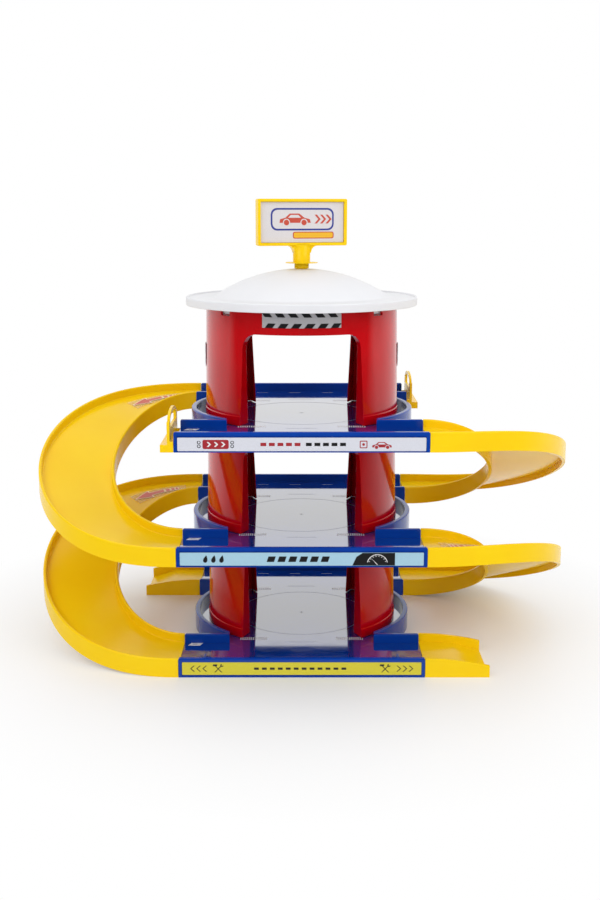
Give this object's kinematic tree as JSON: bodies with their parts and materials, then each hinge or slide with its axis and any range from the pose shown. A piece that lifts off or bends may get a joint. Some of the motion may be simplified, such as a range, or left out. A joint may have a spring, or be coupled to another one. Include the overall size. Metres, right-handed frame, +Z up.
{
  "type": "toy parking garage",
  "caption": "Tiered toy parking garage: decks on a round tower, joined by half-circle ramps, with a domed roof and a swivelling sign.",
  "frame": {"origin": "centre of the footprint, on the surface that the garage stands on", "axes": "+Z up; -Y is the front, with the lane that ends in the exit ramp on the right; +X to the right"},
  "size_m": [0.434, 0.2474, 0.3548],
  "materials": {
    "blue_plastic": "high gloss moulded plastic, royal blue",
    "red_plastic": "high gloss moulded plastic, deep red",
    "yellow_plastic": "glossy moulded plastic, warm yellow",
    "white_plastic": "semi-gloss moulded plastic, white",
    "pale_label": "printed adhesive film",
    "light_blue_label": "printed adhesive film",
    "yellow_label": "printed adhesive film",
    "red_arrow_label": "printed clear adhesive film",
    "sign_label": "printed adhesive film"
  },
  "bodies": {
    "garage": {"deck_lower": "blue_plastic", "deck_middle": "blue_plastic", "deck_upper": "blue_plastic", "tower_lower": "red_plastic", "tower_middle": "red_plastic", "tower_upper": "red_plastic", "roof_dome": "white_plastic", "ramp_left_upper": "yellow_plastic", "ramp_left_lower": "yellow_plastic", "ramp_right_upper": "yellow_plastic", "ramp_right_lower": "yellow_plastic", "exit_ramp_front": "yellow_plastic", "exit_ramp_back": "yellow_plastic", "end_stop_front": "yellow_plastic", "end_stop_back": "yellow_plastic", "ramp_arrow_left_upper": "red_arrow_label", "ramp_arrow_left_lower": "red_arrow_label", "ramp_arrow_right_upper": "red_arrow_label", "ramp_arrow_right_lower": "red_arrow_label", "fascia_label_lower_front": "yellow_label", "fascia_label_lower_back": "yellow_label", "fascia_label_middle_front": "light_blue_label", "fascia_label_middle_back": "light_blue_label", "fascia_label_upper_front": "pale_label", "fascia_label_upper_back": "pale_label", "lintel_label_front": "pale_label", "lintel_label_back": "pale_label", "side_label_left": "pale_label", "side_label_right": "pale_label"},
    "sign": {"sign_frame": "yellow_plastic", "sign_face_front": "sign_label", "sign_face_back": "sign_label"}
  },
  "joints": [
    {"name": "sign_swivel", "type": "hinge", "parent": "garage", "child": "sign", "pos_m": [0, 0, 0.3], "axis": [0, 0, 1], "continuous": true}
  ]
}
